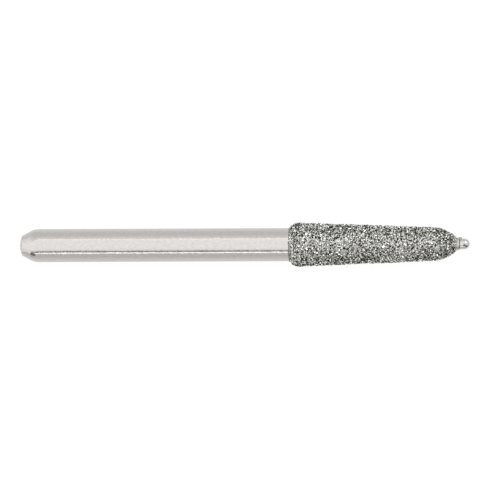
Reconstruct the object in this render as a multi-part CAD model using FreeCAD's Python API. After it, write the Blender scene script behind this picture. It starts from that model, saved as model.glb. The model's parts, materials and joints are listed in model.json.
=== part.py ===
import FreeCAD, Part
import math
import os
import random

from FreeCAD import Vector

# Diamond dental bur: a turned steel blank, and the diamond coat plated on its head.
# All sizes are in millimetres and degrees. The axis is X, with the tip towards +X.
# The origin is half way along the straight part of the shank, where a chuck grips it.

# Shank
shank_diameter = 1.60
grip_length = 11.93         # straight part, between the tapered end and the coat
end_face_diameter = 0.97    # where the domed end meets its taper
end_dome_height = 0.11
end_taper_angle = 28.0      # of the taper's side to the axis
end_blend_radius = 1.0      # between the taper and the straight part

# Head, measured over the tops of the grains
head_length = 8.07
head_diameter = 2.19        # of the taper at the grains' rear edge, if that were not rounded
head_taper_angle = 2.15     # of the side to the axis
rear_round_radius = 0.45
nose_radius = 1.70

# Bare guide pin at the tip
pin_diameter = 0.52
pin_length = 0.50           # clear of the coat, with its round end

# Diamond coat: nickel plate that holds one layer of grains
coat_thickness = 0.21       # from the steel to the tops of the grains
margin_length = 0.11        # bare nickel that runs on over the shank and over the pin
shank_margin_height = 0.03  # of that nickel over the shank
pin_margin_height = 0.07    # and over the pin
grain_pitch = 0.23          # from the top of one grain to the next
grain_relief = 0.08         # from the tops of the grains down to the hollows between them
grain_unevenness = 0.35     # share of the relief by which tops differ, and hollows too
grain_scatter = 0.22        # share of the pitch by which grains stray from even rows
grain_seed = 12

shank_radius = shank_diameter / 2
pin_radius = pin_diameter / 2
taper = math.radians(head_taper_angle)

# Places along the axis
grip_start = -grip_length / 2
coat_start = grip_start + grip_length
head_start = coat_start + margin_length
head_end = head_start + head_length
coat_end = head_end + margin_length
tip = coat_end + pin_length


def on_section(x, radius):
    """A point of the half section that is turned about the axis."""
    return Vector(x, 0, radius)


def line(start, end):
    return Part.LineSegment(start, end).toShape()


def arc(centre, radius, start, end):
    """An arc of the half section. Its angles are measured from straight outward towards the tip."""
    points = [
        centre + on_section(radius * math.sin(angle), radius * math.cos(angle))
        for angle in (start, (start + end) / 2, end)
    ]
    return Part.Arc(*points).toShape()


def start_of(edge):
    return edge.valueAt(edge.FirstParameter)


def end_of(edge):
    return edge.valueAt(edge.LastParameter)


def turned(edges):
    """The solid that a half section makes when turned. Its edges run from axis to axis."""
    closing = line(end_of(edges[-1]), start_of(edges[0]))
    return Part.Face(Part.Wire(edges + [closing])).revolve(Vector(0, 0, 0), Vector(1, 0, 0), 360)


def tangent_centre(radius, through, side):
    """Centre of an arc that touches the head's taper and passes through a point.

    The arc meets the taper on the tip's side of its centre's foot for side +1: it is the rear
    edge's round. For side -1 the arc leads from the taper down to the nose.
    """
    along = on_section(math.cos(taper), -math.sin(taper))
    outward = on_section(math.sin(taper), math.cos(taper))
    on_taper = on_section(head_start, head_diameter / 2)
    depth = (on_taper - through).dot(outward)
    reach = (through - on_taper).dot(along) + side * math.sqrt(depth * (2 * radius - depth))
    return on_taper + along * reach - outward * radius


def head_outline(depth):
    """The head from its rear edge to its nose, at a depth below the tops of the grains."""
    rear_edge = on_section(head_start, shank_radius + shank_margin_height)
    nose_edge = on_section(head_end, pin_radius + pin_margin_height)
    rear_centre = tangent_centre(rear_round_radius, rear_edge, +1)
    nose_centre = tangent_centre(nose_radius, nose_edge, -1)
    rear_angle = -math.acos((rear_edge.z - rear_centre.z) / rear_round_radius)
    nose_angle = math.acos((nose_edge.z - nose_centre.z) / nose_radius)
    rear = arc(rear_centre, rear_round_radius - depth, rear_angle, taper)
    nose = arc(nose_centre, nose_radius - depth, taper, nose_angle)
    return [rear, line(end_of(rear), start_of(nose)), nose]


def shank():
    """The shank from its domed end to inside the head."""
    slope = math.radians(end_taper_angle)
    face_radius = end_face_diameter / 2
    taper_length = (shank_radius - face_radius) / math.tan(slope)
    corner_x = grip_start - end_blend_radius * math.tan(slope / 2)
    dome_radius = (face_radius**2 + end_dome_height**2) / (2 * end_dome_height)
    dome_x = corner_x - taper_length - end_dome_height + dome_radius
    dome = arc(on_section(dome_x, 0), dome_radius, -math.pi / 2, -math.acos(face_radius / dome_radius))
    blend_centre = on_section(grip_start, shank_radius - end_blend_radius)
    blend = arc(blend_centre, end_blend_radius, -slope, 0)
    inner_x = head_start + rear_round_radius
    side = line(end_of(blend), on_section(inner_x, shank_radius))
    inner_face = line(end_of(side), on_section(inner_x, 0))
    return turned([dome, line(end_of(dome), start_of(blend)), blend, side, inner_face])


def head_core():
    """The tapered steel head under the coat."""
    outline = head_outline(coat_thickness)
    rear, nose = start_of(outline[0]), end_of(outline[-1])
    rear_face = line(on_section(rear.x, 0), rear)
    nose_face = line(nose, on_section(nose.x, 0))
    return turned([rear_face, *outline, nose_face])


def guide_pin():
    """The pin from inside the head to its round end."""
    inner_x = head_end - head_length / 2
    round_end = arc(on_section(tip - pin_radius, 0), pin_radius, 0, math.pi / 2)
    inner_face = line(on_section(inner_x, 0), on_section(inner_x, pin_radius))
    return turned([inner_face, line(end_of(inner_face), start_of(round_end)), round_end])


def steel_blank():
    return shank().fuse([head_core(), guide_pin()]).removeSplitter()


def grit_rings():
    """Rings of corners along the coat, from one bare margin to the other.

    Every third corner of a ring on the head is a grain's top, with hollows round it.
    """
    chance = random.Random(grain_seed)
    spacing = grain_pitch / math.sqrt(3)
    outline = Part.Wire(head_outline(0))
    last = round(outline.Length / (spacing * math.sqrt(3) / 2))
    stations = outline.discretize(Number=last + 1)
    rings = []
    for place, station in enumerate(stations):
        along = (stations[min(place + 1, last)] - stations[max(place - 1, 0)]).normalize()
        inward = on_section(along.z, -along.x)
        roughness = 0 if place in (0, last) else 1      # the head's two edges are even
        count = 3 * round(2 * math.pi * station.z / (3 * spacing))
        ring = []
        for corner in range(count):
            share = chance.uniform(0, grain_unevenness)
            is_top = (corner - place - place // 2) % 3 == 0
            sunk = grain_relief * (share if is_top else 1 - share)
            drift = grain_scatter * spacing * chance.uniform(-1, 1)
            point = station + (inward * sunk + along * drift) * roughness
            stray = grain_scatter * chance.uniform(-1, 1) * roughness
            angle = 2 * math.pi * (corner + 0.5 * (place % 2) + stray) / count
            ring.append(Vector(point.x, -point.z * math.sin(angle), point.z * math.cos(angle)))
        rings.append(ring)
    margin = Vector(margin_length, 0, 0)
    rear_margin = [corner - margin for corner in rings[0]]
    pin_margin = [corner + margin for corner in rings[-1]]
    return [rear_margin, *rings, pin_margin]


def stitched(ring, following):
    """Triangles between two rings. Each next one takes the shorter of two diagonals."""
    here = there = 0
    while here < len(ring) or there < len(following):
        corner, next_corner = ring[here % len(ring)], ring[(here + 1) % len(ring)]
        opposite, next_opposite = following[there % len(following)], following[(there + 1) % len(following)]
        along_ring = opposite.distanceToPoint(next_corner) < corner.distanceToPoint(next_opposite)
        if there == len(following) or (along_ring and here < len(ring)):
            here += 1
            yield corner, opposite, next_corner
        else:
            there += 1
            yield corner, opposite, next_opposite


def flat_face(corners):
    return Part.Face(Part.makePolygon([*corners, corners[0]]))


def diamond_coat(blank):
    """The nickel and its grains: a closed rough skin, filled and then hollowed by the blank."""
    rings = grit_rings()
    faces = [flat_face(rings[0]), flat_face(rings[-1])]
    for ring, following in zip(rings, rings[1:]):
        faces += [flat_face(corners) for corners in stitched(ring, following)]
    return Part.Solid(Part.Shell(faces)).cut(blank)


def main():
    os.makedirs("parts", exist_ok=True)
    blank = steel_blank()
    blank.exportStep("parts/steel_blank.step")
    diamond_coat(blank).exportStep("parts/diamond_coat.step")


main()
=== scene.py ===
import bpy
import json
import math
import numpy as np
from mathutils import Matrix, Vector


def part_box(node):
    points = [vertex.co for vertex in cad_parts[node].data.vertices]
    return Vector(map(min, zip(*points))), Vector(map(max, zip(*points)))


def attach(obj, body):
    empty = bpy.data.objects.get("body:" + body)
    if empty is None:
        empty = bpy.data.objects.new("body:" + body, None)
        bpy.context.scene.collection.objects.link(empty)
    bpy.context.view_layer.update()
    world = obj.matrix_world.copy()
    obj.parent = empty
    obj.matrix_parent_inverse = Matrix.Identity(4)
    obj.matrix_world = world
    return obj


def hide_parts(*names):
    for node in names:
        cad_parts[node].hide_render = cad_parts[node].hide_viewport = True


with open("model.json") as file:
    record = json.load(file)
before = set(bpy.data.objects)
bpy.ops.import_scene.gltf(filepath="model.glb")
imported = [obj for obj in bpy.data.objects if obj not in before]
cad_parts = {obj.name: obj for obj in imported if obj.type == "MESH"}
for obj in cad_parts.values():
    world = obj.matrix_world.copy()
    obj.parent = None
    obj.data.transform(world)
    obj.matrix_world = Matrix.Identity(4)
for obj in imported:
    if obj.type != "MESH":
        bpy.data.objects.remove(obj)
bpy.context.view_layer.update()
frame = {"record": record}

# Dental bur with a diamond head, lying level and seen from straight above.
# The axis is X: the shank's end on the left, the guide pin's tip on the right.
# Shapes are in millimetres, and mm turns them into metres. Angles round the axis start at +Z
# and grow towards -Y.
mm = 0.001

blankLow, blankHigh = (np.array(corner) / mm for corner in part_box("steel_blank"))
coatLow, coatHigh = (np.array(corner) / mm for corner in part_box("diamond_coat"))
shankDims = frame["record"]["mounts"][0]["dims"]
print("frame loaded")


# Mesh helpers

def makePiece(name, points, faces, node, sharpDegrees, material):
    # faces: list of integer arrays, each with one row of corner numbers per face.
    # Edges sharper than sharpDegrees stay sharp, and 0 leaves every face flat.
    mesh = bpy.data.meshes.new(name)
    sizes = np.concatenate([np.full(len(part), part.shape[1]) for part in faces])
    corners = np.concatenate([part.ravel() for part in faces])
    mesh.vertices.add(len(points))
    mesh.vertices.foreach_set("co", (points * mm).astype(np.float32).ravel())
    mesh.loops.add(len(corners))
    mesh.loops.foreach_set("vertex_index", corners.astype(np.int32))
    mesh.polygons.add(len(sizes))
    mesh.polygons.foreach_set("loop_start", (np.cumsum(sizes) - sizes).astype(np.int32))
    mesh.update(calc_edges=True)
    mesh.validate()
    mesh.polygons.foreach_set("use_smooth", np.full(len(sizes), sharpDegrees > 0))
    if sharpDegrees:
        mesh.set_sharp_from_angle(angle=math.radians(sharpDegrees))
    mesh.materials.append(material)
    piece = bpy.data.objects.new(name, mesh)
    bpy.context.scene.collection.objects.link(piece)
    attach(piece, "root")
    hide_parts(node)
    return piece


def addAttribute(piece, name, domain, values):
    # One number for each point or face, which the piece's material reads.
    attribute = piece.data.attributes.new(name, "FLOAT", domain)
    attribute.data.foreach_set("value", values.astype(np.float32).ravel())


def gridFaces(rows, columns, closed):
    # Quads of a grid of rows by columns. The last column joins the first one, and where the grid
    # is closed, the last row joins the first one too. Rows run towards the tip and columns turn
    # from +Z to -Y, so the faces point outwards.
    row, column = np.meshgrid(np.arange(rows if closed else rows - 1), np.arange(columns), indexing="ij")
    nextRow, nextColumn = (row + 1) % rows, (column + 1) % columns
    corners = [row * columns + column, row * columns + nextColumn,
               nextRow * columns + nextColumn, nextRow * columns + column]
    return np.stack(corners, axis=-1).reshape(-1, 4)


def capFaces(ring, pole, outwardToTip):
    # Triangles from a ring of corners to a pole.
    following = np.roll(ring, -1)
    poles = np.full(len(ring), pole)
    order = [ring, following, poles] if outwardToTip else [ring, poles, following]
    return np.stack(order, axis=-1)


def evenTurn(columns):
    # Angles of the columns, one full turn shared out evenly.
    return np.arange(columns) * 2 * math.pi / columns


def turnedPoints(x, radius, angle):
    # x as it is, y = - radius * sin(angle), z = radius * cos(angle)
    return np.stack(np.broadcast_arrays(x, -radius * np.sin(angle), radius * np.cos(angle)), axis=-1)


def latheMesh(profile, columns):
    # A closed surface of revolution: a profile of (x, radius), from pole to pole, turned about X.
    rows = len(profile) - 2
    grid = turnedPoints(profile[1:-1, :1], profile[1:-1, 1:], evenTurn(columns)).reshape(-1, 3)
    poles = np.array([[profile[0, 0], 0, 0], [profile[-1, 0], 0, 0]])
    firstRing = np.arange(columns)
    faces = [
        gridFaces(rows, columns, False),
        capFaces(firstRing, rows * columns, False),
        capFaces((rows - 1) * columns + firstRing, rows * columns + 1, True),
    ]
    return np.concatenate([grid, poles]), faces


def arcProfile(centreX, centreR, radius, start, end, steps):
    # x = centre + radius * sin(angle), r = centre + radius * cos(angle), angles in radians
    angle = np.linspace(start, end, steps)
    return np.stack([centreX + radius * np.sin(angle), centreR + radius * np.cos(angle)], axis=-1)


def lengthAlong(profile):
    # Length of a polyline from its first point to each of its points.
    return np.concatenate([[0], np.cumsum(np.linalg.norm(np.diff(profile, axis=0), axis=1))])


def spacedProfile(profile, spacing):
    # The same polyline with points added, so that none are further apart than spacing.
    length = lengthAlong(profile)
    even = np.linspace(0, length[-1], int(length[-1] / spacing) + 2)
    at = np.unique(np.concatenate([length, even]))
    return np.stack([np.interp(at, length, profile[:, 0]), np.interp(at, length, profile[:, 1])], axis=-1)


# Outline of the head over the tops of the grains: an arc, a tapered side and an arc

headShape = {
    "diameter": 2.19,       # of the taper at the grains' rear edge, if that were not rounded
    "taperDegrees": 2.15,
    "rearRound": 0.45,      # radius of the arc at the rear edge
    "noseRound": 1.70,      # and of the one at the nose
    "margin": 0.11,         # length of the bare nickel that runs on over the shank and over the pin
    "shankMargin": 0.03,    # height of that nickel over the shank
    "pinMargin": 0.07,      # and over the pin
    "pinDiameter": 0.52,
    "rearSteps": 40,        # points along each arc
    "noseSteps": 80,
    "spacing": 0.02,        # greatest distance between points of the outline
}
headStart, headEnd = coatLow[0] + headShape["margin"], coatHigh[0] - headShape["margin"]
shankR, pinR = shankDims["r_mm"], headShape["pinDiameter"] / 2


def touchingCentre(radius, through, side):
    # Centre of an arc that touches the tapered side and passes through a point.
    taper = math.radians(headShape["taperDegrees"])
    along = np.array([math.cos(taper), -math.sin(taper)])
    outward = np.array([math.sin(taper), math.cos(taper)])
    onTaper = np.array([headStart, headShape["diameter"] / 2])
    depth = (onTaper - through) @ outward
    reach = (through - onTaper) @ along + side * math.sqrt(depth * (2 * radius - depth))
    return onTaper + along * reach - outward * radius


def headOutline():
    # Points of the outline and the outward normal at each, from the rear edge to the nose.
    taper = math.radians(headShape["taperDegrees"])
    rearRound, noseRound = headShape["rearRound"], headShape["noseRound"]
    rearEdge = np.array([headStart, shankR + headShape["shankMargin"]])
    noseEdge = np.array([headEnd, pinR + headShape["pinMargin"]])
    rearCentre = touchingCentre(rearRound, rearEdge, +1)
    noseCentre = touchingCentre(noseRound, noseEdge, -1)
    rearStart = -math.acos((rearEdge[1] - rearCentre[1]) / rearRound)
    noseEnd = math.acos((noseEdge[1] - noseCentre[1]) / noseRound)
    rear = arcProfile(*rearCentre, rearRound, rearStart, taper, headShape["rearSteps"])
    nose = arcProfile(*noseCentre, noseRound, taper, noseEnd, headShape["noseSteps"])
    points = spacedProfile(np.concatenate([rear, nose]), headShape["spacing"])
    along = np.gradient(points, axis=0)
    along /= np.linalg.norm(along, axis=1)[:, None]
    return points, np.stack([-along[:, 1], along[:, 0]], axis=-1)


outlinePoints, outlineNormals = headOutline()
outlineLength = lengthAlong(outlinePoints)


def onOutline(length):
    # Place and outward normal at a length along the outline, both as (x, r).
    place = [np.interp(length, outlineLength, outlinePoints[:, k]) for k in (0, 1)]
    normal = [np.interp(length, outlineLength, outlineNormals[:, k]) for k in (0, 1)]
    return np.stack(place, axis=-1), np.stack(normal, axis=-1)


# Materials

def setSockets(node, values):
    # values: numbers and colours by the names of their sockets
    for name, value in values.items():
        node.inputs[name].default_value = value


def newMaterial(name, values):
    material = bpy.data.materials.new(name)
    material.use_nodes = True
    nodes = material.node_tree.nodes
    shader = nodes["Principled BSDF"]
    setSockets(shader, values)
    return material, nodes, material.node_tree.links, shader


def objectNoise(nodes, links, scale, detail, roughness):
    # Noise on Object coordinates. scale: cycles per metre along X, Y and Z
    place = nodes.new("ShaderNodeTexCoord")
    mapping = nodes.new("ShaderNodeMapping")
    noise = nodes.new("ShaderNodeTexNoise")
    setSockets(mapping, {"Scale": scale})
    setSockets(noise, {"Scale": 1.0, "Detail": detail, "Roughness": roughness})
    links.new(place.outputs["Object"], mapping.inputs["Vector"])
    links.new(mapping.outputs["Vector"], noise.inputs["Vector"])
    return noise.outputs["Fac"]


def attributeOf(nodes, name):
    attribute = nodes.new("ShaderNodeAttribute")
    attribute.attribute_name = name
    return attribute.outputs["Fac"]


def axesOf(nodes, links, source):
    # X, Y and Z of a vector.
    split = nodes.new("ShaderNodeSeparateXYZ")
    links.new(source, split.inputs["Vector"])
    return [split.outputs[axis] for axis in "XYZ"]


def mathOf(nodes, links, operation, *values):
    # Each value is a socket or a number.
    step = nodes.new("ShaderNodeMath")
    step.operation = operation
    for socket, value in zip(step.inputs, values):
        if isinstance(value, bpy.types.NodeSocket):
            links.new(value, socket)
        else:
            socket.default_value = value
    return step.outputs["Value"]


def vectorOf(nodes, links, operation, source, fixed):
    # A vector's distance to a fixed place, or its dot product with a fixed direction.
    step = nodes.new("ShaderNodeVectorMath")
    step.operation = operation
    links.new(source, step.inputs[0])
    step.inputs[1].default_value = fixed
    return step.outputs["Value"]


def rampOf(nodes, links, source, stops):
    # stops: list of (position, (red, green, blue))
    ramp = nodes.new("ShaderNodeValToRGB")
    elements = ramp.color_ramp.elements
    while len(elements) < len(stops):
        elements.new(0.5)
    for element, (position, colour) in zip(elements, stops):
        element.position = position
        element.color = (*colour, 1)
    links.new(source, ramp.inputs["Fac"])
    return ramp.outputs["Color"]


def rangeOf(nodes, links, source, low, high, atLow, atHigh, course="LINEAR"):
    # The source between low and high, turned into atLow to atHigh and clamped there.
    spread = nodes.new("ShaderNodeMapRange")
    spread.interpolation_type = course
    setSockets(spread, {"From Min": low, "From Max": high, "To Min": atLow, "To Max": atHigh})
    links.new(source, spread.inputs["Value"])
    return spread.outputs["Result"]


def mixOf(nodes, links, share, start, end):
    # The colour of a socket where share is 0, and a plain colour where it is 1.
    mix = nodes.new("ShaderNodeMix")
    mix.data_type = "RGBA"
    links.new(share, mix.inputs["Factor"])
    links.new(start, mix.inputs["A"])
    mix.inputs["B"].default_value = (*end, 1)
    return mix.outputs["Result"]


def addBump(nodes, links, shader, source, height):
    # height: metres between the source's 0 and 1
    bump = nodes.new("ShaderNodeBump")
    setSockets(bump, {"Distance": height, "Strength": 1.0})
    links.new(source, bump.inputs["Height"])
    links.new(bump.outputs["Normal"], shader.inputs["Normal"])


steelLook = {
    "tones": [(0.35, (0.635, 0.613, 0.600)), (0.65, (0.695, 0.673, 0.660))],
    "edge": 0.81,           # tint of what it mirrors at a flat angle
    "roughness": (0.09, 0.15),      # where the marks are darkest and lightest
    # faint marks left by grinding, and shallow unevenness that breaks up the reflections
    "marks": {"scale": (6000, 9000, 9000), "detail": 4, "roughness": 0.6},
    "waves": {"scale": (11000, 5000, 5000), "detail": 2, "roughness": 0.5},
    "waveHeight": 7.5e-6,   # metres
    # colour of the painted shade line on the pin, and of the dark speck on the pin's end
    "shadeAndSpeckColour": (0.12, 0.118, 0.115),
    "shadeLineReach": 0.045,    # of the painted shade line on the pin in front of the plate
    "speckX": -0.265,       # place of a dark speck on the pin's end, from the tip
    "speckY": -0.065,
    "speckInner": 0.03,     # it is full within this distance of its middle
    "speckOuter": 0.085,    # and gone at this one
}


def steelMaterial():
    # Marks give colour and roughness, and waves give the bump. The line is painted shade where the plate's
    # end shades the pin, and the speck is a dark mark on the pin's end.
    material, nodes, links, shader = newMaterial("groundSteel", {
        "Metallic": 1.0,
        "Specular Tint": (steelLook["edge"],) * 3 + (1,),
    })
    marks = objectNoise(nodes, links, **steelLook["marks"])
    colour = rampOf(nodes, links, marks, steelLook["tones"])
    place = nodes.new("ShaderNodeTexCoord").outputs["Object"]
    for shadeAndSpeckMask in (paintedShadeLine(nodes, links, place), darkSpeck(nodes, links, place)):
        colour = mixOf(nodes, links, shadeAndSpeckMask, colour, steelLook["shadeAndSpeckColour"])
    links.new(colour, shader.inputs["Base Color"])
    links.new(rangeOf(nodes, links, marks, 0, 1, *steelLook["roughness"]), shader.inputs["Roughness"])
    waves = objectNoise(nodes, links, **steelLook["waves"])
    addBump(nodes, links, shader, waves, steelLook["waveHeight"])
    return material


def paintedShadeLine(nodes, links, place):
    # Painted shade where the plate's end shades the pin: 1 at the plate's end and half the reach behind
    # it, falling to 0 at the reach in front of it.
    x = axesOf(nodes, links, place)[0]
    plateEnd, reach = coatHigh[0] * mm, steelLook["shadeLineReach"] * mm
    fading = rangeOf(nodes, links, x, plateEnd, plateEnd + reach, 1, 0)
    inFront = mathOf(nodes, links, "GREATER_THAN", x, plateEnd - reach / 2)
    return mathOf(nodes, links, "MULTIPLY", fading, inFront)


def darkSpeck(nodes, links, place):
    # 1 at the speck's middle on the pin's upper side, falling to 0 with the distance from it.
    x, y = blankHigh[0] + steelLook["speckX"], steelLook["speckY"]
    middle = np.array([x, y, math.sqrt(pinR**2 - y**2)]) * mm
    away = vectorOf(nodes, links, "DISTANCE", place, middle)
    inner, outer = steelLook["speckInner"] * mm, steelLook["speckOuter"] * mm
    return rangeOf(nodes, links, away, inner, outer, 1, 0)


nickelLook = {
    "tones": [(0.3, (0.40, 0.395, 0.365)), (0.7, (0.77, 0.765, 0.725))],
    "roughness": 0.30,
    "lumps": {"scale": (9000, 9000, 9000), "detail": 3, "roughness": 0.55},
    "lumpHeight": 8e-6,     # metres
    # colour of the painted shade at the joint, in the hollows between the beads and on the burr
    "jointShade": (0.05, 0.05, 0.045),
}


def nickelMaterial():
    # Lumps give colour and bump, and the piece's attribute of painted shade mixes a dark colour in.
    material, nodes, links, shader = newMaterial("platedNickel", {
        "Metallic": 1.0,
        "Roughness": nickelLook["roughness"],
    })
    lumps = objectNoise(nodes, links, **nickelLook["lumps"])
    clean = rampOf(nodes, links, lumps, nickelLook["tones"])
    colour = mixOf(nodes, links, attributeOf(nodes, "paintedShade"), clean, nickelLook["jointShade"])
    links.new(colour, shader.inputs["Base Color"])
    addBump(nodes, links, shader, lumps, nickelLook["lumpHeight"])
    return material


diamondLook = {
    # facet colours from near black to white: the grit's own tone, with painted reflection of light inside
    # the diamond
    "tones": [
        (0.38, (0.002, 0.002, 0.0015)),
        (0.56, (0.09, 0.09, 0.081)),
        (0.68, (0.66, 0.66, 0.61)),
        (0.84, (1.0, 1.0, 0.96)),
    ],
    "roughness": 0.12,
    "metallic": 0.7,
    "refraction": 2.0,
}


def diamondMaterial():
    # The colour goes by the facet's own attribute: a tone that differs at random, and its spread from near
    # black to white is painted reflection of light inside the clear diamond.
    material, nodes, links, shader = newMaterial("diamondGrit", {
        "Metallic": diamondLook["metallic"],
        "Roughness": diamondLook["roughness"],
        "IOR": diamondLook["refraction"],
    })
    colour = rampOf(nodes, links, attributeOf(nodes, "toneAndReflection"), diamondLook["tones"])
    links.new(colour, shader.inputs["Base Color"])
    return material


# Steel blank: shank with a domed and tapered end, tapered head core and guide pin

blankShape = {
    "endFace": 0.97,        # diameter where the dome meets the end's taper
    "domeHeight": 0.11,
    "endTaperDegrees": 28.0,
    "endBlend": 1.0,        # radius between that taper and the straight part
    "coreDepth": 0.21,      # of the core below the tops of the grains
    "coreStep": 4,          # the core is hidden, so every fourth point of the outline will do
    "domeSteps": 14,        # points along each arc
    "blendSteps": 16,
    "pinSteps": 24,
    "rowSpacing": 0.12,
    "columns": 160,
    "sharpDegrees": 24,
}


def coreProfile():
    # The blank's core from the shank to the pin: the outline sunk by the coat's thickness.
    core = (outlinePoints - outlineNormals * blankShape["coreDepth"])[::blankShape["coreStep"]]
    isCore = (core[:, 0] < headEnd) & (core[:, 1] > pinR)
    isCore &= (core[:, 1] > shankR) | (core[:, 0] > headStart + headShape["rearRound"])
    core = core[isCore]
    return np.concatenate([[[core[0, 0], shankR]], core, [[core[-1, 0], pinR]]])


def blankProfile():
    # From pole to pole: dome, taper, blend and straight shank, core, then the pin with its half-round end.
    gripStart = -shankDims["length_mm"] / 2
    faceR, rise = blankShape["endFace"] / 2, blankShape["domeHeight"]
    slope, blendR = math.radians(blankShape["endTaperDegrees"]), blankShape["endBlend"]
    domeR = (faceR**2 + rise**2) / (2 * rise)
    domeEnd = -math.acos(faceR / domeR)
    dome = arcProfile(blankLow[0] + domeR, 0, domeR, -math.pi / 2, domeEnd, blankShape["domeSteps"])
    blend = arcProfile(gripStart, shankR - blendR, blendR, -slope, 0, blankShape["blendSteps"])
    pinEnd = arcProfile(blankHigh[0] - pinR, 0, pinR, 0, math.pi / 2, blankShape["pinSteps"])
    profile = np.concatenate([dome[1:], blend, coreProfile(), pinEnd[:-1]])
    profile = spacedProfile(profile, blankShape["rowSpacing"])
    return np.concatenate([[[blankLow[0], 0]], profile, [[blankHigh[0], 0]]])


def makeBlank():
    # The profile turned about X, with one pole on the dome and one on the pin's round end.
    points, faces = latheMesh(blankProfile(), blankShape["columns"])
    piece = makePiece("steelBlank", points, faces, "steel_blank",
                      blankShape["sharpDegrees"], steelMaterial())
    print("steel blank made")
    return piece


# Nickel plate that the grains stand in: the outline sunk by the grains' clear height, with lumps,
# a bare margin at each end that runs on over the steel, and an inner wall along the steel

plateShape = {
    "sunk": 0.085,          # below the tops of the grains
    "edgeSunk": 0.05,       # the same at both ends of the outline
    "edgeLength": 0.20,     # over which the one turns into the other
    "lump": 0.014,          # height of its lumps
    "waver": 0.035,         # by which the rear margin's edge strays
    "bow": 0.05,            # by which that edge lies further forward at the sides than at the top
    "bead": 0.014,          # height of the rear margin's beads
    "hollowShade": 0.8,      # painted shade in the hollows between them
    "jointShade": 0.048,         # from the rear margin's edge to the painted shade at the joint in front of the grains
    "jointShadeWidth": 0.022,
    "chamfer": 0.03,        # length of the slope that ends the pin's margin
    "footHeight": 0.01,     # of that slope's foot over the pin
    "burrDegrees": -78,     # place of a burr on the pin's margin
    "burrWidth": 11,        # in degrees too
    "burrLength": 0.12,
    "burrRise": 0.036,
    # painted shade on the burr, which dims its bright reflection
    "burrShade": 0.6,
    "underEdge": 0.02,      # how far both margins and the inner wall dip into the steel
    "marginRows": 9,
    "rows": 250,
    "columns": 250,
    "sharpDegrees": 35,
}


def bentWave(along, waves, bend, across, bendWaves):
    # sin(waves * along + bend * sin(bendWaves * across)): a wave that a second one pushes to and fro
    return np.sin(waves * along + bend * np.sin(bendWaves * across))


def rearMargin(turn):
    # A beaded skin on the shank. The painted shade at the joint follows part of the edge's stray and bow.
    stray = 0.5 + 0.3 * bentWave(turn, 7, 1.3, turn, 3) + 0.2 * bentWave(turn, 19, 2, turn, 5)
    stray *= plateShape["waver"]
    bow = plateShape["bow"] * np.sin(turn) ** 2
    edgeX = coatLow[0] + stray + bow
    jointShadeX = coatLow[0] + plateShape["jointShade"] + 0.5 * stray + 0.6 * bow
    share = np.linspace(0, 1, plateShape["marginRows"])[:, None]
    beads = np.sin(37 * turn + 2 * np.sin(11 * turn) + 4 * share) * bentWave(share, 6, 3, turn, 17)
    height = headShape["shankMargin"] * (0.35 + 0.45 * share) + plateShape["bead"] * beads
    x = np.concatenate([edgeX, edgeX + (headStart - edgeX) * share])
    radius = shankR + np.concatenate([0 * turn - plateShape["underEdge"], height])
    # the painted shade at the joint is broken, and darkest at the top of the bur
    broken = 0.75 - 0.35 * np.sin(turn) ** 2 + 0.25 * bentWave(turn, 23, 3, turn, 8)
    paintedShade = broken * np.exp(-((x - jointShadeX) / plateShape["jointShadeWidth"]) ** 2)
    # painted shade in the hollows between the beads
    paintedShade[1:] += plateShape["hollowShade"] * np.clip(-beads, 0, 1)
    return x, radius, paintedShade


def plateBody(turn):
    # place = outline - depth * normal, then radius + lump * two pairs of waves
    length = np.linspace(0, outlineLength[-1], plateShape["rows"])[:, None]
    fromEdge = np.minimum(length, outlineLength[-1] - length) / plateShape["edgeLength"]
    fromEdge = np.clip(fromEdge, 0, 1)
    eased = fromEdge * fromEdge * (3 - 2 * fromEdge)
    depth = plateShape["edgeSunk"] + (plateShape["sunk"] - plateShape["edgeSunk"]) * eased
    place, normal = onOutline(length[:, 0])
    profile = place - normal * depth
    lumps = bentWave(length, 41, 3, turn, 9) * bentWave(turn, 29, 2.3, length, 17)
    lumps += 0.6 * bentWave(length, 67, 2, turn, 14) * bentWave(turn, 43, 1.9, length, 31)
    x = profile[:, :1] + 0 * turn
    return x, profile[:, 1:] + plateShape["lump"] * lumps * fromEdge, 0 * x


def pinMargin(turn):
    # A sleeve on the pin that ends in a slope, with one burr that carries painted shade: exp(-(angle away
    # / width)^2)
    away = np.angle(np.exp(1j * (turn - math.radians(plateShape["burrDegrees"]))))
    burr = np.exp(-(away / math.radians(plateShape["burrWidth"])) ** 2)
    endX = coatHigh[0] + plateShape["burrLength"] * burr
    x = np.concatenate([endX - plateShape["chamfer"], endX, endX])
    heights = [headShape["pinMargin"] + 0 * turn,
               plateShape["footHeight"] + plateShape["burrRise"] * burr,
               0 * turn - plateShape["underEdge"]]
    return x, pinR + np.concatenate(heights), plateShape["burrShade"] * burr + 0 * x


def innerWall(turn):
    # Along the steel and a little into it, from the pin back to the shank.
    wall = coreProfile()[::-1, :, None] + 0 * turn
    return wall[:, 0], wall[:, 1] - plateShape["underEdge"], 0 * wall[:, 0]


def makePlate():
    # One closed grid of four strips, each with its x, its radius and its painted shade.
    turn = evenTurn(plateShape["columns"])[None, :]
    strips = [rearMargin(turn), plateBody(turn), pinMargin(turn), innerWall(turn)]
    x, radius, paintedShade = (np.concatenate(parts) for parts in zip(*strips))
    points = turnedPoints(x, radius, turn).reshape(-1, 3)
    faces = gridFaces(len(x), plateShape["columns"], True)
    piece = makePiece("nickelPlate", points, [faces], "diamond_coat",
                      plateShape["sharpDegrees"], nickelMaterial())
    addAttribute(piece, "paintedShade", "POINT", paintedShade)
    print("nickel plate made")
    return piece


# Diamond grains: blocky crystals set all over the head, each with its own size, turn, tilt and facet
# tones, which are partly painted reflection

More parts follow.
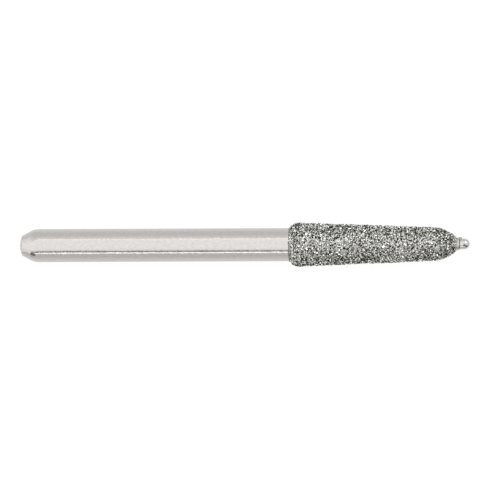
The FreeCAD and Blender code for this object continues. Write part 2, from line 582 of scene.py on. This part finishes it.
grainShape = {
    "pitch": 0.148,         # mean distance between neighbours
    "stray": 0.22,          # share of the pitch by which grains leave their even places
    "noseClear": 0.05,      # least length along the outline from its end to a grain's middle
    "width": 0.138,
    "widthSpread": 0.03,
    "tiltDegrees": 32,
    "sinkSpread": 0.035,    # how much deeper the lowest grains sit
    "tiltPower": 0.7,       # below 1, so more grains lean far over than not
    "leanTwist": 0.2,       # how much less the lean's axis points up or down than sideways
    "sinkPower": 1.5,       # above 1, so more grains sit high than low
    # a stone of unit width: so many corners on each ring, and each ring's height and radius
    "sides": 6,
    "levels": (-0.42, -0.05, 0.22, 0.46),
    "radii": (0.34, 0.52, 0.50, 0.28),
    "cornerTurn": 0.3,      # a corner strays by up to this share of the angle between two corners,
    "cornerHeight": 0.05,   # by up to this height,
    "cornerRadius": (0.78, 1.12),   # and its radius is this much of the ring's
    "stretch": (0.82, 1.18),        # of one side of a stone, while the other shrinks by the same
    "topTones": (0.25, 1.0),        # darkest and lightest tone of the facets on top
    "seed": 7,
}


def grainPlaces(chance):
    # A spiral that turns by the golden angle, with as many grains per area everywhere, then strayed.
    meanR = (outlinePoints[1:, 1] + outlinePoints[:-1, 1]) / 2
    area = np.concatenate([[0], np.cumsum(2 * math.pi * meanR * np.diff(outlineLength))])
    count = int(area[-1] / (grainShape["pitch"] ** 2 * math.sqrt(3) / 2))
    number = np.arange(count)
    stray = grainShape["stray"] * grainShape["pitch"]
    length = np.interp((number + 0.5) / count * area[-1], area, outlineLength)
    length += stray * chance.uniform(-1, 1, count)
    place, normal = onOutline(np.clip(length, 0, outlineLength[-1] - grainShape["noseClear"]))
    angle = number * math.pi * (3 - math.sqrt(5))
    angle += stray / place[:, 1] * chance.uniform(-1, 1, count)
    return place, normal, angle


def rotations(axis, angle):
    # cos * identity + sin * cross product with the axis + (1 - cos) * axis by axis, one for each row
    a = axis / np.linalg.norm(axis, axis=1)[:, None]
    zero = np.zeros(len(a))
    cross = np.stack([zero, -a[:, 2], a[:, 1], a[:, 2], zero, -a[:, 0], -a[:, 1], a[:, 0], zero],
                     axis=-1).reshape(-1, 3, 3)
    cos, sin = np.cos(angle)[:, None, None], np.sin(angle)[:, None, None]
    return cos * np.eye(3) + sin * cross + (1 - cos) * a[:, :, None] * a[:, None, :]


def crystalShapes(count, chance):
    # Rings of corners round a stone of unit width, each corner strayed, with a point at each end.
    levels, radii = np.array(grainShape["levels"]), np.array(grainShape["radii"])
    turnLimit, heightLimit = grainShape["cornerTurn"], grainShape["cornerHeight"]
    rings, sides = len(levels), grainShape["sides"]
    each = (count, rings, sides)
    turn = np.arange(sides) + chance.uniform(-turnLimit, turnLimit, each)
    turn += 0.5 * chance.integers(0, 2, (count, rings, 1))
    turn *= 2 * math.pi / sides
    radius = radii[:, None] * chance.uniform(*grainShape["cornerRadius"], each)
    level = levels[:, None] + chance.uniform(-heightLimit, heightLimit, each)
    level[:, -1] = levels[-1]
    stretch = chance.uniform(*grainShape["stretch"], (count, 1, 1))
    corners = np.stack([radius * np.cos(turn) * stretch, radius * np.sin(turn) / stretch, level], axis=-1)
    ends = np.zeros((count, 2, 3))
    ends[:, 0, 2], ends[:, 1, 2] = levels[0], levels[-1]
    return np.concatenate([corners.reshape(count, -1, 3), ends], axis=1)


def crystalFaces():
    # Triangles of one stone, pointing outwards: two on each side of each ring, then both ends.
    sides, rings = grainShape["sides"], len(grainShape["levels"])
    bottom, top = np.arange(sides), (rings - 1) * sides + np.arange(sides)
    triangles = []
    for ring in range(rings - 1):
        here, beside = ring * sides + bottom, ring * sides + np.roll(bottom, -1)
        triangles += [np.stack([here, beside, beside + sides], axis=-1),
                      np.stack([here, beside + sides, here + sides], axis=-1)]
    triangles += [capFaces(bottom, rings * sides, False), capFaces(top, rings * sides + 1, True)]
    return np.concatenate(triangles)


def facetGroups():
    # Number of the facet that each of a stone's triangles belongs to, in crystalFaces order.
    # Each side of each ring is a facet, and so are the hidden bottom and the top.
    sides, rings = grainShape["sides"], len(grainShape["levels"])
    groups = [np.tile(np.arange(sides) + sides * ring, 2) for ring in range(rings - 1)]
    bottom = sides * (rings - 1)
    return np.concatenate([*groups, np.full(sides, bottom), np.full(sides, bottom + 1)])


def turnedStones(count, chance):
    # Stones of all widths, spun about their own axes and then leant over.
    width = grainShape["width"] + grainShape["widthSpread"] * chance.uniform(-1, 1, count)
    stones = crystalShapes(count, chance) * width[:, None, None]
    spin = rotations(np.tile([0.0, 0.0, 1.0], (count, 1)), chance.uniform(0, 2 * math.pi, count))
    leanAxis = chance.normal(size=(count, 3)) * [1, 1, grainShape["leanTwist"]]
    lean = math.radians(grainShape["tiltDegrees"]) * chance.uniform(0, 1, count) ** grainShape["tiltPower"]
    return np.einsum("nij,njk,nvk->nvi", rotations(leanAxis, lean), spin, stones)


def facetTones(count, chance):
    # Each ring of sides has dark, middling and light facets in a random order, partly painted reflection
    # of light inside the diamond.
    sides, steps = grainShape["sides"], len(grainShape["levels"]) - 1
    order = np.argsort(chance.uniform(0, 1, (count, steps, sides)), axis=2)
    sideTones = (order + chance.uniform(0, 1, order.shape)) / sides
    endTones = chance.uniform(*grainShape["topTones"], (count, 2))
    return np.concatenate([sideTones.reshape(count, -1), endTones], axis=1)[:, facetGroups()]


def makeGrains():
    # point = outline - outward * sunk + stone in a frame of its own: along, round and outward
    chance = np.random.default_rng(grainShape["seed"])
    place, normal, angle = grainPlaces(chance)
    count = len(angle)
    stones = turnedStones(count, chance)
    sunk = grainShape["sinkSpread"] * chance.uniform(0, 1, count) ** grainShape["sinkPower"]
    sunk += stones[:, :, 2].max(axis=1)
    outward = turnedPoints(normal[:, 0], normal[:, 1], angle)
    around = turnedPoints(np.zeros(count), np.ones(count), angle + math.pi / 2)
    basis = np.stack([np.cross(around, outward), around, outward], axis=-1)
    centres = turnedPoints(place[:, 0], place[:, 1], angle) - outward * sunk[:, None]
    points = np.einsum("nij,nvj->nvi", basis, stones) + centres[:, None, :]
    faces = crystalFaces() + (np.arange(count) * stones.shape[1])[:, None, None]
    piece = makePiece("diamondGrains", points.reshape(-1, 3), [faces.reshape(-1, 3)],
                      "diamond_coat", 0, diamondMaterial())
    addAttribute(piece, "toneAndReflection", "FACE", facetTones(count, chance))
    print(count, "diamond grains made")
    return piece


# Floor, light and camera, in metres

floorLook = {
    "size": 1.2,
    "gap": 1e-6,            # between the floor and the head
    "colour": (0.16, 0.16, 0.16),
    "roughness": 0.9,
    "specular": 0.1,
    "glow": 1.45,
    "coverTint": 0.64,      # of the clear cover over the glowing sheet, which a flat look crosses longer
    "coverIndex": 1.2,
    "coverRoughness": 0.3,
}


def makeFloor():
    # A pale glowing sheet under a clear cover, like a light table, just under the head.
    half, height = floorLook["size"] / 2, coatLow[2] * mm - floorLook["gap"]
    corners = [(-half, -half, height), (half, -half, height), (half, half, height), (-half, half, height)]
    mesh = bpy.data.meshes.new("floor")
    mesh.from_pydata(corners, [], [(0, 1, 2, 3)])
    mesh.materials.append(newMaterial("paleFloor", {
        "Base Color": (*floorLook["colour"], 1),
        "Roughness": floorLook["roughness"],
        "Specular IOR Level": floorLook["specular"],
        "Emission Color": (1, 1, 1, 1),
        "Emission Strength": floorLook["glow"],
        "Coat Weight": 1.0,
        "Coat Roughness": floorLook["coverRoughness"],
        "Coat IOR": floorLook["coverIndex"],
        "Coat Tint": (floorLook["coverTint"],) * 3 + (1,),
    })[0])
    floor = bpy.data.objects.new("floor", mesh)
    bpy.context.scene.collection.objects.link(floor)
    print("floor laid")
    return floor


studioLook = {
    # Brightness round the bur's axis. 0 degrees is straight up, and +90 is the lower side of the picture.
    "bands": [
        (-90, 0.72), (-67, 0.76), (-59, 0.84), (-50, 0.93), (-44.4, 0.86), (-43.6, 1.75),
        (-42.4, 1.75), (-41.6, 1.05), (-38, 1.14), (20, 1.13), (30, 1.06), (37, 0.95), (40, 0.60),
        (41.5, 0.12), (45.5, 0.12), (48, 0.80), (52.5, 0.82), (54.5, 2.15), (57.0, 2.15),
        (59.2, 0.58), (66, 0.62), (73, 0.71), (81, 0.64), (90, 0.66),
    ],
    "slant": 17.0,          # degrees by which the bands turn towards the axis's ends
    # Towards both ends of the axis the bands fade: cosines to X where that starts and ends, brightness
    "ends": [(-0.35, -1.0, 1.12), (0.25, 0.75, 0.15)],
    # Cards and openings in the studio: direction, radius in degrees, brightness
    "cards": [
        ((-0.52, -0.82, 0.22), 13, 0.20),
        ((0.75, 0.18, 0.63), 38, 1.05),
        ((0.57, -0.78, 0.25), 15, 0.06),
    ],
    "cardEdge": (1.25, 0.75),       # shares of its radius between which a card fades in
}


def makeWorld():
    # Direction (x, y, z) -> angle = atan2(-y, z) + slant * x -> bands -> ends by x -> cards by angle.
    world = bpy.data.worlds.new("studio")
    bpy.context.scene.world = world
    world.use_nodes = True
    nodes, links = world.node_tree.nodes, world.node_tree.links
    direction = nodes.new("ShaderNodeTexCoord").outputs["Generated"]
    x, y, z = axesOf(nodes, links, direction)
    sideways = mathOf(nodes, links, "MULTIPLY", y, -1.0)
    angle = mathOf(nodes, links, "ARCTAN2", sideways, z)
    turn = mathOf(nodes, links, "MULTIPLY_ADD", angle, 1 / (2 * math.pi), 0.5)
    turn = mathOf(nodes, links, "MULTIPLY_ADD", x, studioLook["slant"] / 360, turn)
    # the ramp holds shares of the brightest band, because its colours end at 1
    bands = studioLook["bands"]
    brightest = max(brightness for _, brightness in bands)
    stops = [(0.5 + degrees / 360, (brightness / brightest,) * 3) for degrees, brightness in bands]
    light = rampOf(nodes, links, turn, stops)
    fades = [(x, *end) for end in studioLook["ends"]]
    for towards, radius, brightness in studioLook["cards"]:
        towards = np.array(towards) / np.linalg.norm(towards)
        nearness = vectorOf(nodes, links, "DOT_PRODUCT", direction, towards)
        edge = [math.cos(math.radians(radius * share)) for share in studioLook["cardEdge"]]
        fades.append((nearness, *edge, brightness))
    for source, start, end, brightness in fades:
        share = rangeOf(nodes, links, source, start, end, 0, 1, "SMOOTHSTEP")
        light = mixOf(nodes, links, share, light, (brightness / brightest,) * 3)
    background = nodes["Background"]
    links.new(light, background.inputs["Color"])
    background.inputs["Strength"].default_value = brightest
    print("studio lit")
    return world


# A lamp beside the tip lights the grains and the pin's end, and leaves the shank's bands alone.
tipLamp = {
    "azimuth": 50,          # degrees from +X towards +Y
    "elevation": 40,
    "distance": 0.30,       # from the middle of the head
    "size": 0.09,
    "radiance": 10.0,
}


def makeLamp():
    # Power of a disk in watts = radiance * pi * area
    azimuth, elevation = math.radians(tipLamp["azimuth"]), math.radians(tipLamp["elevation"])
    level = tipLamp["distance"] * math.cos(elevation)
    middle = (coatLow[0] + coatHigh[0]) / 2 * mm
    light = bpy.data.lights.new("tipLamp", "AREA")
    light.shape = "DISK"
    light.size = tipLamp["size"]
    light.energy = tipLamp["radiance"] * math.pi * math.pi * (tipLamp["size"] / 2) ** 2
    lamp = bpy.data.objects.new("tipLamp", light)
    lamp.location = (
        middle + level * math.cos(azimuth),
        level * math.sin(azimuth),
        tipLamp["distance"] * math.sin(elevation),
    )
    lamp.rotation_euler = (0, math.pi / 2 - elevation, azimuth)
    lamp.visible_camera = False
    bpy.context.scene.collection.objects.link(lamp)
    print("lamp set")
    return lamp


# Places in the 490-pixel picture that the camera matches
pictureFit = {
    "width": 490,
    "shankEnd": 20.0,
    "pinTip": 469.75,
    "axisRow": 244.8,       # of the axis at the middle of the picture
    "rollDegrees": 0.235,   # by which the axis rises to the right
    "distance": 0.35,       # of the camera, in metres
}


def makeCamera():
    # Looks straight down. Picture right is +X and picture up is +Y.
    scale = (blankHigh[0] - blankLow[0]) * mm / (pictureFit["pinTip"] - pictureFit["shankEnd"])
    middle = pictureFit["width"] / 2
    camera = bpy.data.cameras.new("camera")
    camera.sensor_width = 36
    camera.lens = camera.sensor_width * pictureFit["distance"] / (scale * pictureFit["width"])
    camera.clip_start = 0.01
    viewer = bpy.data.objects.new("camera", camera)
    viewer.location = (
        blankLow[0] * mm + (middle - pictureFit["shankEnd"]) * scale,
        -(middle - pictureFit["axisRow"]) * scale,
        pictureFit["distance"],
    )
    viewer.rotation_euler = (0, 0, -math.radians(pictureFit["rollDegrees"]))
    bpy.context.scene.collection.objects.link(viewer)
    bpy.context.scene.camera = viewer
    bpy.context.scene.view_settings.view_transform = "Standard"
    print("camera set")
    return viewer


makeBlank()
makePlate()
makeGrains()
makeFloor()
makeWorld()
makeLamp()
makeCamera()
